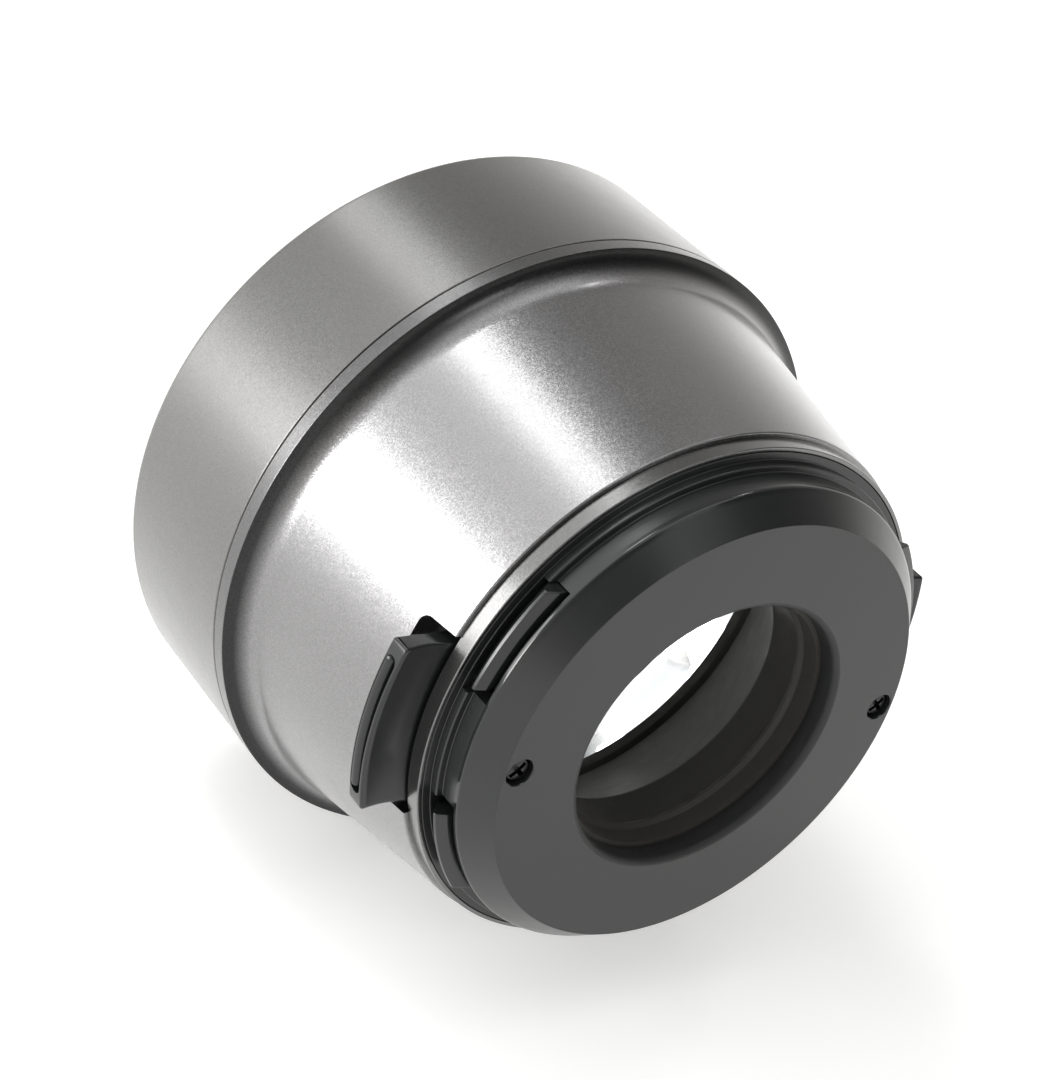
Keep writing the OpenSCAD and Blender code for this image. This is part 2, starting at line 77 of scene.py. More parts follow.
def span(node):
    """A turned solid's outer radius, and its first and last station along the axis."""
    low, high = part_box(node)
    return high[2] / MM, low[1] / MM, high[1] / MM


# Radii and stations of the solids
front_r, y_front, y_ring_back = span("front_ring")
_, y_tube, y_rim = span("main_barrel")
collar_r, _, y_ledge = span("rear_collar")
ledge_r, y_boss, y_face = span("mount_ring")
tube_r, y_bore, y_crown = span("front_retaining_ring")
front_glass_r, _, _ = span("front_crown_glass")
rear_glass_r, y_rear_seat, _ = span("rear_positive_glass")
_, _, y_negative = span("rear_negative_glass")
_, _, y_ring_rear = span("rear_retaining_ring")
baffle_foot_r, y_flare_end, y_plate = span("rear_baffle")
_, y_web_rear, _ = span("guide_plate")
_, _, y_shoulder = span("front_lens_cell")
button_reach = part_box("release_slider_left")[1][0] / MM
y_slider_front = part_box("release_slider_left")[0][1] / MM

# Clip mount
spigot_r = 25.5
seat_r = 26.2
face_r = 23.15
skirt_r = 24.0
land_end = 2.4
land_round = 0.45
opening_r = 14.35
opening_round = 0.65
y_flange = -2.15
screw_x = 21.5
window_z = (5.6, 16.45)
window_y = (-0.8, 1.95)

# Barrel and front ring
taper = math.tan(math.radians(9.65))
rim_r = 27.95
barrel_wall = 1.3
y_step = -26.2
y_cove = -23.5
y_part = y_ring_back + 0.05
part_gap = 0.07
accessory_r = front_r - 3.0
sleeve_r = tube_r + 0.05
front_cell_r = tube_r - 1.2
notch_half = 9.65
notch_corner = 1.0
notch_depth = 3.0
web_t = 1.6
web_bore_r = 18.14

# Sliders, buttons and claws
slider_t = 2.1
y_slider_rear = y_slider_front + slider_t
button_half = 8.7
groove_r = 0.78
y_groove = y_slider_front + 0.97
groove_x = button_reach - 2.4
bead_r = 0.7
bead_sink = 0.02
y_bead = y_slider_front + 0.35
bead_z = 6.55
claw_z = (6.75, 16.3)
claw_y = (-0.35, 1.45)
claw_tip_y = (0.8, 1.13)
claw_r = 26.9
claw_foot_r = 25.85
post_r = (22.0, 23.7)

# Optics
glass_seat = 1.35
front_clear_r = front_glass_r - glass_seat
rear_clear_r = rear_glass_r - glass_seat
front_surface_r = 150.0
front_back_r = 250.0
rear_surface_r = 110.0
y_rear_glass = y_rear_seat - 0.9
y_front_seat = -29.85

# Rear hood
baffle_r = 13.9
baffle_wall = 0.9
ridge_y = 0.3
ridge_w = 0.5
ridge_h = 0.4
y_flare = -4.1
y_web_front = y_web_rear - web_t
baffle_foot_t = 0.9


# Outlines and meshes

def rounded(corners):
    """Points of a closed outline whose corners, given as (r, y) or (r, y, radius), become arcs."""
    points = []
    for i, corner in enumerate(corners):
        here = Vector(corner[:2])
        if len(corner) == 2:
            points.append(here)
            continue
        radius = corner[2]
        back = (Vector(corners[i - 1][:2]) - here).normalized()
        ahead = (Vector(corners[(i + 1) % len(corners)][:2]) - here).normalized()
        half = back.angle(ahead) / 2
        centre = here + (back + ahead).normalized() * radius / math.sin(half)
        start = here + back * radius / math.tan(half) - centre
        sweep = (math.pi - 2 * half) * (1 if back.cross(ahead) < 0 else -1)
        steps = max(2, math.ceil(abs(sweep) / ARC_STEP))
        for k in range(steps + 1):
            a = sweep * k / steps
            points.append(centre + Matrix.Rotation(a, 2) @ start)
    return points


def cap_points(radius, rim_r, rim_y, bulge, steps=24):
    """Points of a lens surface from its rim to the axis, bulging towards +Y or -Y."""
    centre = rim_y - bulge * math.sqrt(radius * radius - rim_r * rim_r)
    points = []
    for k in range(steps + 1):
        r = rim_r * (1 - k / steps)
        points.append(Vector((r, centre + bulge * math.sqrt(radius * radius - r * r))))
    return points


def skin(bm, sections, closed):
    """Joins rows of points into quads; each row is a closed loop, and the rows may close too."""
    count = len(sections)
    for i in range(count if closed else count - 1):
        row, after = sections[i], sections[(i + 1) % count]
        for j in range(len(row)):
            k = (j + 1) % len(row)
            bm.faces.new((row[j], row[k], after[k], after[j]))


def piece_from(name, bm):
    """An object in metres from a mesh in millimetres."""
    bmesh.ops.remove_doubles(bm, verts=bm.verts, dist=1e-5)
    bmesh.ops.recalc_face_normals(bm, faces=bm.faces)
    bm.transform(Matrix.Scale(MM, 4))
    mesh = bpy.data.meshes.new(name)
    bm.to_mesh(mesh)
    bm.free()
    piece = bpy.data.objects.new(name, mesh)
    bpy.context.scene.collection.objects.link(piece)
    return piece


def lathe(name, outline, segments=SEGMENTS, centre=(0, 0, 0)):
    """A body turned about the optical axis, or about a line beside it."""
    bm = bmesh.new()
    rings = []
    for i in range(segments):
        a = TURN * i / segments
        rings.append([bm.verts.new((centre[0] + r * math.cos(a), y, centre[2] + r * math.sin(a)))
                      for r, y in outline])
    skin(bm, rings, closed=True)
    return piece_from(name, bm)


def inset(outline, depth):
    """The outline drawn in by a depth, along the mean normal of each point's two sides."""
    area = sum(a[0] * b[1] - b[0] * a[1] for a, b in zip(outline, [*outline[1:], outline[0]]))
    turn = Matrix.Rotation(math.copysign(math.pi / 2, area), 2)
    points = []
    for i, point in enumerate(outline):
        here = Vector(point)
        before = (here - Vector(outline[i - 1])).normalized()
        after = (Vector(outline[(i + 1) % len(outline)]) - here).normalized()
        inward = (turn @ (before + after)).normalized()
        points.append(here + inward * depth / max(0.5, inward.dot(turn @ after)))
    return points


def arc_bar(name, outline, z_from, z_to, side=1, edge=0.0, steps=48):
    """A bar bent round the axis on one side, with flat ends at two heights and their edges rounded."""
    bends = 4 if edge else 0
    rows = []
    for k in range(bends):
        a = math.pi / 2 * (1 - k / bends)
        rows.append((z_from + edge * (1 - math.sin(a)), edge * (1 - math.cos(a))))
    for k in range(steps + 1):
        rows.append((z_from + edge + (z_to - z_from - 2 * edge) * k / steps, 0.0))
    for k in range(1, bends + 1):
        a = math.pi / 2 * k / bends
        rows.append((z_to - edge * (1 - math.sin(a)), edge * (1 - math.cos(a))))
    bm = bmesh.new()
    sections = []
    for z, depth in rows:
        loop = inset(outline, depth) if depth else outline
        sections.append([bm.verts.new((side * math.sqrt(r * r - z * z), y, z)) for r, y in loop])
    skin(bm, sections, closed=False)
    bm.faces.new(sections[0])
    bm.faces.new(sections[-1])
    return piece_from(name, bm)


def slab(name, outline, y_from, y_to):
    """A flat piece of the given (x, z) outline between two stations."""
    bm = bmesh.new()
    rows = [[bm.verts.new((x, y, z)) for x, z in outline] for y in (y_from, y_to)]
    skin(bm, rows, closed=False)
    bm.faces.new(rows[0])
    bm.faces.new(rows[1])
    return piece_from(name, bm)


def block(x, y, z):
    """A cutting block from three ranges."""
    corners = [(x[0], z[0]), (x[1], z[0]), (x[1], z[1]), (x[0], z[1])]
    return slab("block", corners, y[0], y[1])


def rod(r, y_from, y_to, x, z=0.0, segments=48):
    """A cutting rod along the axis."""
    return lathe("rod", [(0, y_from), (r, y_from), (r, y_to), (0, y_to)], segments, (x, 0, z))


def ball(r, x, y, z):
    """A cutting ball."""
    bm = bmesh.new()
    bmesh.ops.create_icosphere(bm, subdivisions=4, radius=r, matrix=Matrix.Translation((x, y, z)))
    return piece_from("ball", bm)


def bake(piece):
    """Turns a piece's modifiers into its mesh."""
    graph = bpy.context.evaluated_depsgraph_get()
    shape = bpy.data.meshes.new_from_object(piece.evaluated_get(graph))
    piece.modifiers.clear()
    piece.data = shape


def carve(piece, tools, operation="DIFFERENCE"):
    """Cuts tools out of a piece, or joins them to it."""
    for tool in tools:
        step = piece.modifiers.new("carve", "BOOLEAN")
        step.operation = operation
        step.solver = "EXACT"
        step.object = tool
    bake(piece)
    for tool in tools:
        bpy.data.objects.remove(tool)


def dress(piece, body, slot, look, *nodes):
    """Gives a piece its finish and its smooth shading, and puts it in place of its solids."""
    piece.data.materials.clear()
    piece.data.materials.append(look)
    piece.data.shade_smooth()
    piece.data.set_sharp_from_angle(angle=math.radians(32))
    even = piece.modifiers.new("even", "WEIGHTED_NORMAL")
    even.keep_sharp = True
    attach(piece, body)
    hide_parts(*nodes)


# Materials

class Look:
    """A principled material whose detail is worked out in millimetres of the object's own frame."""

    def __init__(self, name, settings):
        self.material = bpy.data.materials.new(name)
        self.material.use_nodes = True
        self.tree = self.material.node_tree
        self.shader = self.tree.nodes["Principled BSDF"]
        self.set(self.shader, settings)
        spot = self.node("ShaderNodeTexCoord")
        self.place = self.node("ShaderNodeVectorMath", {0: spot.outputs["Object"], "Scale": 1 / MM},
                               operation="SCALE").outputs[0]

    def set(self, node, settings):
        """Sets sockets to constants, or links them to other sockets."""
        for socket, value in settings.items():
            if isinstance(value, bpy.types.NodeSocket):
                self.tree.links.new(value, node.inputs[socket])
            else:
                node.inputs[socket].default_value = value

    def node(self, kind, settings=None, **options):
        made = self.tree.nodes.new(kind)
        for option, value in options.items():
            setattr(made, option, value)
        self.set(made, settings or {})
        return made

    def noise(self, size, detail=2.0):
        """Cloudy noise whose patches are about the given size in millimetres."""
        made = self.node("ShaderNodeTexNoise", {"Vector": self.place, "Scale": 1 / size, "Detail": detail})
        return made.outputs["Fac"]

    def cells(self, size):
        """A random colour for each cell of about the given size in millimetres."""
        made = self.node("ShaderNodeTexVoronoi", {"Vector": self.place, "Scale": 1 / size})
        return made.outputs["Color"]

    def spread(self, value, low, high):
        """Maps 0..1 to a range."""
        made = self.node("ShaderNodeMapRange", {"Value": value, "To Min": low, "To Max": high})
        return made.outputs["Result"]

    def blend(self, share, low, high):
        """A colour between two colours."""
        made = self.node("ShaderNodeMix", {"Factor": share}, data_type="RGBA")
        self.set(made, {6: (*low, 1), 7: (*high, 1)})
        return made.outputs[2]

    def along(self, y_from, y_to, low, high):
        """A value that runs from low to high between two stations of the axis."""
        split = self.node("ShaderNodeSeparateXYZ", {0: self.place})
        made = self.node("ShaderNodeMapRange", {"Value": split.outputs["Y"], "From Min": y_from,
                                                "From Max": y_to, "To Min": low, "To Max": high})
        return made.outputs["Result"]

    def outward(self, r_from, r_to, low, high):
        """A value that runs from low to high between two distances from the axis."""
        across = self.node("ShaderNodeVectorMath", {0: self.place, 1: (1, 0, 1)}, operation="MULTIPLY")
        reach = self.node("ShaderNodeVectorMath", {0: across.outputs[0]}, operation="LENGTH")
        made = self.node("ShaderNodeMapRange", {"Value": reach.outputs["Value"], "From Min": r_from,
                                                "From Max": r_to, "To Min": low, "To Max": high})
        return made.outputs["Result"]

    def combined(self, operation, first, second):
        """Two values put together by a sum of the given kind."""
        return self.node("ShaderNodeMath", {0: first, 1: second}, operation=operation).outputs[0]

    def bump(self, height, depth):
        """Normals from a height, whose full swing is the given depth in millimetres."""
        made = self.node("ShaderNodeBump", {"Height": height, "Distance": depth * MM, "Strength": 1.0})
        return made.outputs["Normal"]

    def dimmed(self, colour, share):
        """A colour times a value."""
        made = self.node("ShaderNodeVectorMath", {0: colour, "Scale": share}, operation="SCALE")
        return made.outputs[0]

    def tilted(self, cells, tilt):
        """Normals that lean a little at random in each cell, as paint flakes do."""
        surface = self.node("ShaderNodeNewGeometry").outputs["Normal"]
        centred = self.node("ShaderNodeVectorMath", {0: cells, 1: (0.5, 0.5, 0.5)}, operation="SUBTRACT")
        leaning = self.node("ShaderNodeVectorMath", {0: centred.outputs[0], 1: (tilt,) * 3, 2: surface},
                            operation="MULTIPLY_ADD")
        return self.node("ShaderNodeVectorMath", {0: leaning.outputs[0]}, operation="NORMALIZE").outputs[0]


def step_painted_shade_and_lip_tone(look):
    """How far the paint is dimmed, as a share of the cone's: painted shade in the hollow of the step, and a
    darker paint tone on its lip.
    """
    # Painted shade: the hollow of the step is darkened, standing in for the shade that falls there
    hollow = look.along(y_step + 0.4, y_step + 1.6, 0.16, 1.0)
    # The lip takes a darker tone of the paint
    lip = look.along(y_step - 0.04, y_step, 0.55, 0.0)
    return look.combined("MAXIMUM", hollow, lip)


def mount_wear(look):
    """How rough the mount is, as a share of its plain finish: use polishes the end of the land, and the
    edge of the opening is matt."""
    before = look.along(land_end - 0.55, land_end - 0.45, 1.0, 0.4)
    behind = look.along(land_end + 0.2, land_end + 0.45, 0.4, 1.0)
    rim = look.outward(opening_r + 0.5, opening_r + 0.8, 2.4, 0.0)
    return look.combined("MAXIMUM", look.combined("MAXIMUM", before, behind), rim)


def flake_paint(name, dark, light, roughness, flake, tilt, coat, coat_roughness, shade=None):
    """Metallic lacquer: small flakes that lean at random under a clear coat. A given shade dims the colour
    and the coat, which paints shade and tone into the lacquer.
    """
    look = Look(name, {"Metallic": 1.0, "Coat Weight": coat, "Coat Roughness": coat_roughness})
    flakes = look.cells(flake)
    share = look.node("ShaderNodeSeparateColor", {0: flakes}).outputs[0]
    colour = look.blend(share, dark, light)
    if shade:
        # Painted shade and tone: the base colour and the coat are dimmed where the shade is low
        level = shade(look)
        colour = look.dimmed(colour, level)
        look.set(look.shader, {"Coat Weight": look.spread(level, 0.0, coat)})
    look.set(look.shader, {
        "Base Color": colour,
        "Roughness": look.spread(look.noise(3.0), roughness * 0.9, roughness * 1.1),
        "Normal": look.tilted(flakes, tilt),
    })
    return look.material


def moulded_plastic(name, dark, light, roughness, grain, depth, wear=None):
    """Black plastic or anodised metal with a fine grain and faintly uneven gloss."""
    look = Look(name, {"Metallic": 0.0, "IOR": 1.52})
    gloss = look.spread(look.noise(1.5), roughness * 0.88, roughness * 1.12)
    if wear:
        gloss = look.combined("MULTIPLY", gloss, wear(look))
    look.set(look.shader, {
        "Base Color": look.blend(look.noise(6.0), dark, light),
        "Roughness": gloss,
        "Normal": look.bump(look.noise(grain, 3.0), depth),
    })
    return look.material


def coated_glass(name, tint, film):
    """Clear polished glass with a thin coating that colours its reflections."""
    look = Look(name, {"Transmission Weight": 1.0, "Roughness": 0.0, "IOR": 1.5,
                       "Thin Film Thickness": film, "Thin Film IOR": 1.38})
    look.set(look.shader, {"Base Color": look.blend(look.noise(9.0), tint, (1.0, 1.0, 1.0))})
    return look.material


def screw_metal(name, dark, light, roughness):
    """Blackened or bright steel with turned marks."""
    look = Look(name, {"Metallic": 1.0})
    marks = look.noise(0.15, 4.0)
    look.set(look.shader, {
        "Base Color": look.blend(marks, dark, light),
        "Roughness": look.spread(marks, roughness * 0.8, roughness * 1.2),
        "Normal": look.bump(marks, 0.004),
    })
    return look.material


ring_paint = flake_paint(
    "ring_paint", (0.115, 0.114, 0.111), (0.155, 0.153, 0.149), roughness=0.36, flake=0.10, tilt=0.06,
    coat=1.0, coat_roughness=0.25)
barrel_paint = flake_paint(
    "barrel_paint", (0.19, 0.187, 0.189), (0.27, 0.266, 0.268), roughness=0.33, flake=0.09, tilt=0.10,
    coat=1.0, coat_roughness=0.2, shade=step_painted_shade_and_lip_tone)
collar_paint = flake_paint(
    "collar_paint", (0.14, 0.139, 0.138), (0.18, 0.179, 0.178), roughness=0.26, flake=0.09, tilt=0.04,
    coat=0.6, coat_roughness=0.15)
mount_black = moulded_plastic(
    "mount_plastic", (0.012, 0.0135, 0.013), (0.015, 0.0165, 0.016), roughness=0.25, grain=0.12,
    depth=0.0015, wear=mount_wear)
button_black = moulded_plastic(
    "button_plastic", (0.010, 0.0115, 0.011), (0.013, 0.0145, 0.014), roughness=0.25, grain=0.12,
    depth=0.0015)
cell_black = moulded_plastic(
    "cell_black", (0.014, 0.014, 0.014), (0.020, 0.020, 0.020), roughness=0.50, grain=0.10, depth=0.006)
hood_black = moulded_plastic(
    "baffle_black", (0.030, 0.0285, 0.0245), (0.038, 0.0355, 0.031), roughness=0.62, grain=0.10,
    depth=0.006)
front_glass = coated_glass("front_glass", (0.985, 0.99, 0.985), 120.0)
rear_glass = coated_glass("rear_glass", (0.985, 0.99, 0.985), 110.0)
dark_steel = screw_metal("mount_screw_steel", (0.03, 0.03, 0.03), (0.07, 0.07, 0.07), 0.35)
bright_steel = screw_metal("screw_steel", (0.45, 0.44, 0.42), (0.6, 0.59, 0.57), 0.3)
spring_steel = screw_metal("spring_steel", (0.4, 0.4, 0.41), (0.55, 0.55, 0.56), 0.25)


# Turned pieces

def cone_r(y):
    return rim_r + taper * (y_rim - y)


def shell_r(y):
    return cone_r(y) - barrel_wall


def make_front_ring():
    thread_pitch, thread_depth, thread_turns, thread_from = 0.75, 0.35, 3, 0.55
    thread = []
    y = y_front + thread_from
    for _ in range(thread_turns):
        thread += [(accessory_r, y), (accessory_r + thread_depth, y + thread_pitch / 2),
                   (accessory_r, y + thread_pitch)]
        y += thread_pitch
    outline = rounded([
        (sleeve_r, y_ring_back - part_gap, 0.08), (front_r, y_ring_back - part_gap, 0.15),
        (front_r, y_front, 0.8), (accessory_r, y_front, 0.15), *thread, (accessory_r, y_bore),
        (sleeve_r, y_bore, 0.08)])
    dress(lathe("ring_sleeve", outline), "housing", "ring_paint", ring_paint, "front_ring")


def make_bezel():
    bezel_r, land = accessory_r - 0.3, 0.4
    steps, groove_depth, groove_lean = 8, 0.16, 0.12
    grooves = []
    for k in range(1, steps):
        share = k / steps
        r = bezel_r + (front_clear_r - bezel_r) * share
        y = y_bore + (y_crown - land - y_bore) * share
        grooves += [(r + groove_depth, y - groove_lean), (r, y)]
    outline = rounded([
        (bezel_r, y_bore, 0.06), (tube_r, y_bore), (tube_r, y_tube), (front_glass_r, y_tube),
        (front_glass_r, y_crown), (front_clear_r, y_crown), (front_clear_r, y_crown - land),
        *reversed(grooves)])
    dress(lathe("front_bezel", outline), "housing", "cell_black", cell_black, "front_retaining_ring")


def step_cove():
    """The hollow arc that leaves the cone smoothly and runs out to the edge of the step."""
    lean = math.atan(taper)
    out, along = front_r - cone_r(y_cove), y_cove - y_step
    radius = (out * out + along * along) / (2 * (out * math.cos(lean) - along * math.sin(lean)))
    centre_r, centre_y = cone_r(y_cove) + radius * math.cos(lean), y_cove + radius * math.sin(lean)
    last = math.asin((centre_y - y_step) / radius)
    steps = 28
    turns = [lean + (last - lean) * k / steps for k in range(steps - 2)]
    return [(centre_r - radius * math.cos(a), centre_y - radius * math.sin(a)) for a in turns]


def make_barrel():
    outline = rounded([
        (shell_r(y_rim), y_rim), (rim_r, y_rim, 0.2), *step_cove(),
        (front_r, y_step, 0.15), (front_r, y_part, 0.12), (tube_r, y_part), (tube_r, y_tube, 0.1),
        (front_cell_r, y_tube), (front_cell_r, y_shoulder), (shell_r(y_shoulder), y_shoulder),
        (shell_r(y_web_front), y_web_front), (web_bore_r, y_web_front), (web_bore_r, y_web_rear),
        (shell_r(y_web_rear), y_web_rear)])
    barrel = lathe("barrel_shell", outline)
    tools = []
    for side in (-1, 1):
        ends = side * (shell_r(y_rim) - notch_depth), side * (front_r + PAST)
        tools.append(notch_cutter(*sorted(ends)))
    carve(barrel, tools)
    dress(barrel, "housing", "barrel_paint", barrel_paint, "main_barrel")


def plunge(name, outline, x_from, x_to):
    """A piece of the given (z, y) outline that runs along X."""
    bm = bmesh.new()
    rows = [[bm.verts.new((x, y, z)) for z, y in outline] for x in (x_from, x_to)]
    skin(bm, rows, closed=False)
    bm.faces.new(rows[0])
    bm.faces.new(rows[1])
    return piece_from(name, bm)


def notch_cutter(x_from, x_to):
    """The notch that a button stands in: open to the rear, with rounded front corners."""
    outline = rounded([(notch_half, y_rim + PAST), (-notch_half, y_rim + PAST),
                       (-notch_half, y_web_rear, notch_corner), (notch_half, y_web_rear, notch_corner)])
    return plunge("notch", outline, x_from, x_to)


def make_collar():
    outline = rounded([
        (collar_r - 2.5, y_rim), (collar_r, y_rim, 0.15), (collar_r, y_ledge, 0.1),
        (ledge_r + 0.05, y_ledge, 0.04), (ledge_r + 0.05, y_flange), (collar_r - 2.5, y_flange)])
    dress(lathe("painted_collar", outline), "housing", "collar_paint", collar_paint, "rear_collar")


def make_mount():
    outline = rounded([
        (skirt_r, y_flange), (ledge_r, y_flange), (ledge_r, y_ledge, 0.12), (seat_r, y_ledge, 0.08),
        (seat_r, 0.0, 0.14), (spigot_r, 0.0, 0.1), (spigot_r, land_end, land_round), (face_r, y_face, 0.12),
        (opening_r, y_face, opening_round), (opening_r, y_plate, 0.1), (skirt_r, y_plate, 0.3)])
    mount = lathe("clip_mount", outline)
    head_r, hole_r, y_head, bevel = 1.4, 0.9, 3.8, 0.08
    boss_r, shoulder_r, y_shoulder_end, y_boss_end = 1.4, 2.3, -3.0, y_plate + 0.5
    window_from_r = 0.6 * skirt_r
    bosses, tools = [], []
    for side in (-1, 1):
        x = side * screw_x
        boss = [(0, y_boss), (boss_r, y_boss), (boss_r, y_shoulder_end), (shoulder_r, y_shoulder_end),
                (shoulder_r, y_boss_end), (0, y_boss_end)]
        bosses.append(lathe("boss", boss, 48, (x, 0, 0)))
        counterbore = [(0, y_head), (head_r, y_head), (head_r, y_face - bevel),
                       (head_r + bevel + PAST, y_face + PAST), (0, y_face + PAST)]
        tools += [lathe("counterbore", counterbore, 64, (x, 0, 0)),
                  rod(hole_r, y_boss - PAST, y_face + PAST, x)]
        reach = sorted((side * window_from_r, side * (collar_r + PAST)))
        for way in (-1, 1):
            tools.append(block(reach, window_y, sorted(way * z for z in window_z)))
    carve(mount, bosses, "UNION")
    carve(mount, tools)
    dress(mount, "housing", "mount_plastic", mount_black, "mount_ring")


def make_hood():
    out_r = baffle_r + baffle_wall

    def flare_r(y):
        return baffle_r + (rear_clear_r - baffle_r) * (y_flare - y) / (y_flare - y_flare_end)

    y_foot = y_web_front - baffle_foot_t
    outline = rounded([
        (baffle_r, y_plate), (baffle_r, ridge_y + ridge_w, 0.2), (baffle_r - ridge_h, ridge_y, 0.2),
        (baffle_r, ridge_y - ridge_w, 0.2), (baffle_r, y_flare, 0.4), (rear_clear_r, y_flare_end),
        (rear_clear_r + baffle_wall, y_flare_end), (flare_r(y_foot) + baffle_wall, y_foot),
        (baffle_foot_r, y_foot), (baffle_foot_r, y_web_front),
        (flare_r(y_web_front) + baffle_wall, y_web_front), (out_r, y_flare), (out_r, y_plate)])
    dress(lathe("rear_hood", outline), "housing", "baffle_black", hood_black, "rear_baffle")


def make_rear_cell():
    """The flanged cell of the rear pair, with a thin lip in front of the glass."""
    bore_r, wall, lip, flange_t, mouth_wall = rear_glass_r + 0.05, 1.55, 0.45, 1.5, 0.55
    flange_r, y_front_end, _ = span("rear_lens_cell")
    out_r = bore_r + wall
    outline = rounded([
        (bore_r, y_web_front), (flange_r, y_web_front, 0.1), (flange_r, y_web_front - flange_t, 0.1),
        (out_r, y_web_front - flange_t), (out_r, y_front_end), (out_r - mouth_wall, y_front_end),
        (rear_glass_r - lip, y_rear_glass - 0.1), (rear_glass_r - lip, y_rear_glass), (bore_r, y_rear_glass)])
    dress(lathe("rear_cell", outline), "housing", "cell_black", cell_black, "rear_lens_cell")


def make_rear_retainer():
    slant = 0.5
    outline = rounded([
        (rear_clear_r, y_negative), (rear_glass_r, y_negative), (rear_glass_r, y_ring_rear),
        (rear_clear_r + slant, y_ring_rear, 0.12), (rear_clear_r, y_ring_rear - slant, 0.12)])
    dress(lathe("rear_retainer", outline), "housing", "baffle_black", hood_black, "rear_retaining_ring")


def make_glass():
    """Each cemented pair is one clear body, so its polished rims throw light on as real ones do."""
    front = [*reversed(cap_points(front_surface_r, front_clear_r, y_crown, -1)),
             (front_glass_r, y_crown), (front_glass_r, y_front_seat),
             *cap_points(front_back_r, front_clear_r, y_front_seat, 1)]
    dress(lathe("objective_doublet", front), "housing", "front_glass", front_glass,
          "front_crown_glass", "front_flint_glass")
    rear = [(0, y_rear_glass), (rear_glass_r, y_rear_glass), (rear_glass_r, y_negative),
            *cap_points(rear_surface_r, rear_clear_r, y_negative, -1)]
    dress(lathe("rear_doublet", rear), "housing", "rear_glass", rear_glass,
          "rear_positive_glass", "rear_negative_glass")


def make_mount_screws():
    """Two dark pan heads with a cross recess."""
    head_r, shank_r, y_under, y_top, y_tip = 1.25, 0.8, 3.8, 4.6, -8.4
    cross_w, cross_half, cross_depth = 0.46, 0.92, 0.55
    group = None
    for x in (-screw_x, screw_x):
        outline = rounded([(0, y_tip), (shank_r, y_tip, 0.2), (shank_r, y_under), (head_r, y_under),
                           (head_r, y_top - 0.1, 0.25), (0.5, y_top), (0, y_top)])
        screw = lathe("cross_screws", outline, 64, (x, 0, 0))
        tools = []
        for a in (math.radians(45), math.radians(135)):
            along = Vector((math.cos(a), math.sin(a))) * cross_half
            across = Vector((-math.sin(a), math.cos(a))) * cross_w / 2
            corners = [along + across, along - across, -along - across, -along + across]
            tools.append(slab("cross", [(x + c.x, c.y) for c in corners], y_top - cross_depth, y_top + PAST))
        carve(screw, tools)
        group = screw if group is None else joined(group, screw)
    dress(group, "housing", "mount_screw_steel", dark_steel, "mount_screws")


def joined(piece, other):
    """Adds another piece's mesh to a piece."""
    bm = bmesh.new()
    bm.from_mesh(piece.data)
    bm.from_mesh(other.data)
    bm.to_mesh(piece.data)
    bm.free()
    bpy.data.objects.remove(other)
    return piece


def button_outline():
    """The button's section: a rounded outer side and a shallow scoop in the rear side."""
    root_r, scoop_w, scoop_depth, lip = 22.4, 4.4, 0.25, 0.4
    scoop_r = scoop_w * scoop_w / (8 * scoop_depth)
    middle = button_reach - lip - scoop_w / 2
    steps = 16
    scoop = []
    for k in range(steps + 1):
        off = scoop_w * (0.5 - k / steps)
        rise = scoop_r - math.sqrt(scoop_r * scoop_r - off * off)
        scoop.append((middle + off, y_slider_rear - scoop_depth + rise))
    return rounded([(root_r, y_slider_rear), (root_r, y_slider_front), (button_reach, y_slider_front, 0.15),
                    (button_reach, y_slider_rear, 0.22), *scoop])


def claw_outline():
    """A post up the inside of the spigot, and the wedge that it carries out through a window."""
    tip_fall = 0.07
    return rounded([
        (post_r[0], y_slider_rear - 0.2), (post_r[1], y_slider_rear - 0.2), (post_r[1], claw_y[0]),
        (claw_foot_r, claw_y[0], 0.1), (claw_r, claw_tip_y[0], 0.06),
        (claw_r - tip_fall, claw_tip_y[1], 0.08), (claw_foot_r, claw_y[1], 0.1), (post_r[0], claw_y[1])])


def circle_arc(r, first, last, steps=40, x=0.0):
    """Points of an arc in the XZ plane, centred on the X axis."""
    turns = [first + (last - first) * k / steps for k in range(steps + 1)]
    return [(x + r * math.cos(a), r * math.sin(a)) for a in turns]


def groove(side):
    """The round-ended groove along a button's outer face."""
    outline = [*[(bead_z + z, y_groove + y) for z, y in circle_arc(groove_r, -math.pi / 2, math.pi / 2)],
               *[(z - bead_z, y_groove + y) for z, y in circle_arc(groove_r, math.pi / 2, 3 * math.pi / 2)]]
    return plunge("groove", outline, *sorted((side * groove_x, side * (button_reach + PAST))))


def bead(side):
    """The round-ended bead that stands in a button's groove."""
    middle_r = button_reach - bead_sink - bead_r
    crest = [(middle_r + r, y_bead + y) for r, y in circle_arc(bead_r, -math.pi / 2, math.pi / 2)]
    parts = [arc_bar("bead", [*crest, (groove_x, y_bead + bead_r), (groove_x, y_bead - bead_r)],
                     -bead_z, bead_z, side)]
    for z in (-bead_z, bead_z):
        x = math.sqrt(middle_r * middle_r - z * z)
        foot = [(z + a, y_bead + b) for a, b in circle_arc(bead_r, 0, TURN)[:-1]]
        parts.append(plunge("foot", foot, *sorted((side * (groove_x - 0.5), side * x))))
        parts.append(ball(bead_r, side * x, y_bead, z))
    return parts


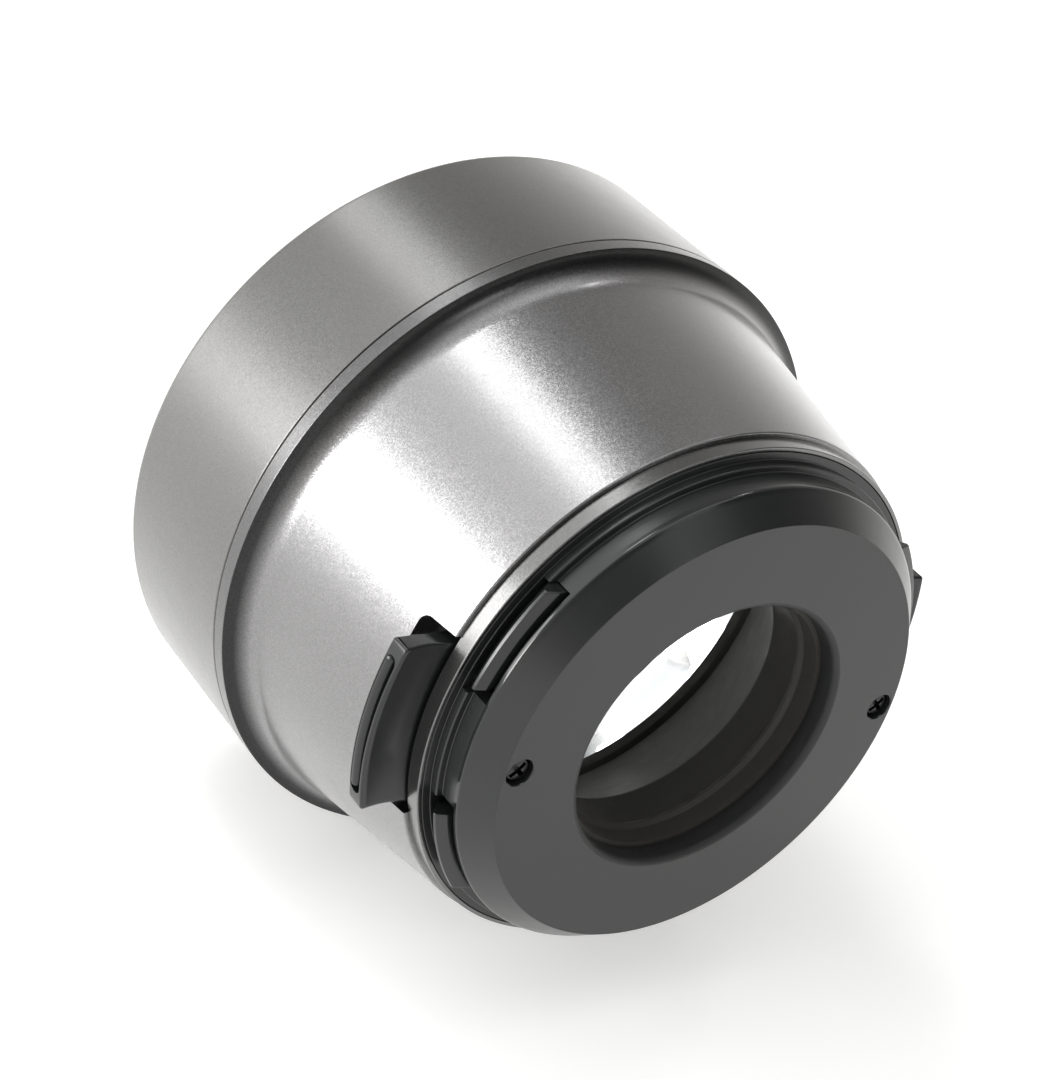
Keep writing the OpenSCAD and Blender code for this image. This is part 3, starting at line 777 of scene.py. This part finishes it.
def make_release(side, body, name, node):
    """A slider plate with its button, and the posts and claws that it carries."""
    plate_in_r, plate_out_r, plate_half, plate_x = 18.6, 24.4, 16.8, 12.5
    inner = math.acos(plate_x / plate_in_r)
    outer = math.asin(plate_half / plate_out_r)
    outline = [*circle_arc(plate_in_r, inner, -inner), (plate_x, -plate_half),
               *circle_arc(plate_out_r, -outer, outer), (plate_x, plate_half)]
    release = slab(name, [(side * x, z) for x, z in outline], y_slider_front, y_slider_rear)
    parts = [arc_bar("button", button_outline(), -button_half, button_half, side, edge=0.3)]
    for way in (-1, 1):
        low, high = sorted(way * z for z in claw_z)
        parts.append(arc_bar("claw", claw_outline(), low, high, side, edge=0.1, steps=32))
    carve(release, parts, "UNION")

    slot_r, travel = 1.5, 1.8
    pocket_x, pocket_z = (10.0, 22.73), (3.0, 5.6)
    y_before = y_slider_front - PAST
    slot = [*circle_arc(slot_r, -math.pi / 2, math.pi / 2, 24, screw_x + travel),
            *circle_arc(slot_r, math.pi / 2, 3 * math.pi / 2, 24, screw_x)]
    tools = [slab("slot", [(side * x, z) for x, z in slot], y_before, y_slider_rear + PAST)]
    for way in (-1, 1):
        tools.append(block(sorted(side * x for x in pocket_x), (y_before, y_slider_rear + 0.01),
                           sorted(way * z for z in pocket_z)))
    tools.append(groove(side))
    carve(release, tools)
    carve(release, bead(side), "UNION")
    proud = block((-button_reach, button_reach), (y_slider_front - 2 * PAST, y_slider_front),
                  (-button_half, button_half))
    carve(release, [proud])
    dress(release, body, "button_plastic", button_black, node)


def make_springs(side, name, node):
    """A pair of wire springs that push a slider out and close up as its button is pressed on the real part;
    here they keep one length.
    """
    wire_r, turns, spring_z, squeezed = 0.125, 4.5, 4.3, 0.45
    turn_steps, wire_sides = 24, 10
    low, high = (Vector(corner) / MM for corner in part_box(node))
    coil_r = (high.y - low.y) / 2 - wire_r
    y_coil = (high.y + low.y) / 2
    x_foot, x_run = min(abs(low.x), abs(high.x)), high.x - low.x
    count = round(turns * turn_steps)
    bm = bmesh.new()
    for z_coil in (-spring_z, spring_z):
        sections = []
        for k in range(count + 1):
            a = TURN * k / turn_steps
            x = x_foot + wire_r + (x_run - 2 * wire_r) * k / count
            wire = [(r, side * (x + off)) for r, off in circle_arc(wire_r, 0, TURN, wire_sides, coil_r)[:-1]]
            sections.append([bm.verts.new((at, y_coil + r * math.cos(a), z_coil + r * math.sin(a)))
                             for r, at in wire])
        skin(bm, sections, closed=False)
        bm.faces.new(sections[0])
        bm.faces.new(sections[-1])
    springs = piece_from(name, bm)
    dress(springs, "housing", "spring_steel", spring_steel, node)
    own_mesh(springs)


make_front_ring()
make_bezel()
make_barrel()
make_collar()
make_mount()
make_hood()
make_rear_cell()
make_rear_retainer()
make_glass()
make_mount_screws()
make_release(1, "left_release", "left_release_button", "release_slider_left")
make_release(-1, "right_release", "right_release_button", "release_slider_right")
make_springs(1, "left_springs", "release_springs_left")
make_springs(-1, "right_springs", "release_springs_right")

# Inner solids keep their own shape and get a finish
INNER_LOOKS = {
    "front_lens_cell": cell_black, "middle_baffle": hood_black,
    "guide_plate": mount_black, "front_cell_grub_screws": bright_steel, "rear_cell_screws": bright_steel,
}
for node, look in INNER_LOOKS.items():
    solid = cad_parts[node]
    for slot in solid.material_slots:
        slot.material = look


# Camera, floor and light

def aim(azimuth, elevation):
    """A direction from the object: azimuth 0 looks from the front, 90 from +X."""
    a, e = math.radians(azimuth), math.radians(elevation)
    return Vector((math.sin(a) * math.cos(e), -math.cos(a) * math.cos(e), math.sin(e)))


def make_camera():
    place = Vector((138.108, 126.673, 116.006)) * MM
    target = Vector((9.963, -15.876, 9.239)) * MM
    roll = math.radians(-17.183)
    focal_pixels, image_height, sensor = 2361.5, 1080, 36.0
    lens = bpy.data.cameras.new("camera")
    lens.sensor_width = sensor
    lens.lens = sensor * focal_pixels / image_height
    lens.clip_start = 0.001
    camera = bpy.data.objects.new("camera", lens)
    facing = (target - place).to_track_quat("-Z", "Y").to_matrix()
    camera.matrix_world = Matrix.Translation(place) @ (facing @ Matrix.Rotation(-roll, 3, "Z")).to_4x4()
    bpy.context.scene.collection.objects.link(camera)
    bpy.context.scene.camera = camera


def make_sun(name, azimuth, elevation, strength, width):
    """A soft far light, given by its direction and its width in degrees."""
    data = bpy.data.lights.new(name, "SUN")
    data.energy = strength
    data.angle = math.radians(width)
    sun = bpy.data.objects.new(name, data)
    sun.rotation_euler = aim(azimuth, elevation).to_track_quat("Z", "Y").to_euler()
    bpy.context.scene.collection.objects.link(sun)


def make_floor():
    reach, gap, lift_level = 6.0, 0.00002, 0.28
    bm = bmesh.new()
    bmesh.ops.create_circle(bm, cap_ends=True, segments=96, radius=reach)
    mesh = bpy.data.meshes.new("floor")
    bm.to_mesh(mesh)
    bm.free()
    floor = bpy.data.objects.new("floor", mesh)
    floor.location.z = cad_box[0][2] - gap
    bpy.context.scene.collection.objects.link(floor)
    look = bpy.data.materials.new("floor_white")
    look.use_nodes = True
    tree = look.node_tree
    shader = tree.nodes["Principled BSDF"]
    shader.inputs["Base Color"].default_value = (0.93, 0.93, 0.925, 1)
    shader.inputs["Roughness"].default_value = 0.9
    shader.inputs["Specular IOR Level"].default_value = 0.1
    shader.inputs["Emission Color"].default_value = (1, 1, 0.995, 1)
    path = tree.nodes.new("ShaderNodeLightPath")
    seen = path.outputs["Is Camera Ray"]
    for ray in ("Is Glossy Ray", "Is Transmission Ray"):
        either = tree.nodes.new("ShaderNodeMath")
        either.operation = "MAXIMUM"
        tree.links.new(seen, either.inputs[0])
        tree.links.new(path.outputs[ray], either.inputs[1])
        seen = either.outputs[0]
    lift = tree.nodes.new("ShaderNodeMath")
    lift.operation = "MULTIPLY"
    tree.links.new(seen, lift.inputs[0])
    lift.inputs[1].default_value = lift_level
    tree.links.new(lift.outputs[0], shader.inputs["Emission Strength"])
    mesh.materials.append(look)


def make_world():
    """A pale horizon under a dim ceiling, a broad glow on the window's side and a dark room behind the
    viewer; it is the same for every ray."""
    brightest = 1.7
    world = bpy.data.worlds.new("studio")
    bpy.context.scene.world = world
    world.use_nodes = True
    tree = world.node_tree
    sky = tree.nodes["Background"]
    spot = tree.nodes.new("ShaderNodeTexCoord").outputs["Generated"]

    def ramp(way, stops, tint=(1, 1, 1)):
        """Grey levels by the angle, in degrees, that a direction rises towards the given way."""
        along = tree.nodes.new("ShaderNodeVectorMath")
        along.operation = "DOT_PRODUCT"
        tree.links.new(spot, along.inputs[0])
        along.inputs[1].default_value = way
        made = tree.nodes.new("ShaderNodeValToRGB")
        tree.links.new(along.outputs["Value"], made.inputs[0])
        elements = made.color_ramp.elements
        while len(elements) < len(stops):
            elements.new(0.5)
        for element, (degrees, grey) in zip(elements, stops):
            element.position = math.sin(math.radians(degrees))
            element.color = (grey * tint[0], grey * tint[1], grey * tint[2], 1)
        return made.outputs["Color"]

    def mix(kind, first, second):
        made = tree.nodes.new("ShaderNodeMix")
        made.data_type = "RGBA"
        made.blend_type = kind
        made.inputs["Factor"].default_value = 1.0
        tree.links.new(first, made.inputs[6])
        tree.links.new(second, made.inputs[7])
        return made.outputs[2]

    up = Vector((0, 0, 1))
    ceiling = ramp(up, [(0, 0.75), (8, 0.65), (16, 0.51), (26, 0.38), (36, 0.29), (44, 0.215), (55, 0.2)],
                   (1.0, 0.99, 0.96))
    dark_room = ramp(aim(197, 0), [(20, 1.0), (35, 0.14)])
    horizon = ramp(up, [(7, 1.0), (14, 0.0)])
    glow = ramp(aim(57, 45), [(46, 0.0), (56, 0.26), (64, 0.6), (68, 1.0)])
    room = mix("MULTIPLY", ceiling, mix("LIGHTEN", dark_room, horizon))
    tree.links.new(mix("LIGHTEN", room, glow), sky.inputs["Color"])
    sky.inputs["Strength"].default_value = brightest


make_camera()
make_floor()
make_world()
make_sun("window", 62, 7, 2.0, 40)
make_sun("window_core", 82, 9, 1.6, 24)
make_sun("ceiling_lamp", 30, 60, 0.37, 14)
make_sun("far_lamp", 8, 43, 0.19, 14)
make_sun("small_lamp", -69, 61, 0.12, 6)
make_sun("room_lamp", 184, 38, 0.22, 12)
make_sun("overhead", 185, 75, 0.55, 50)
bpy.context.scene.view_settings.view_transform = "Standard"
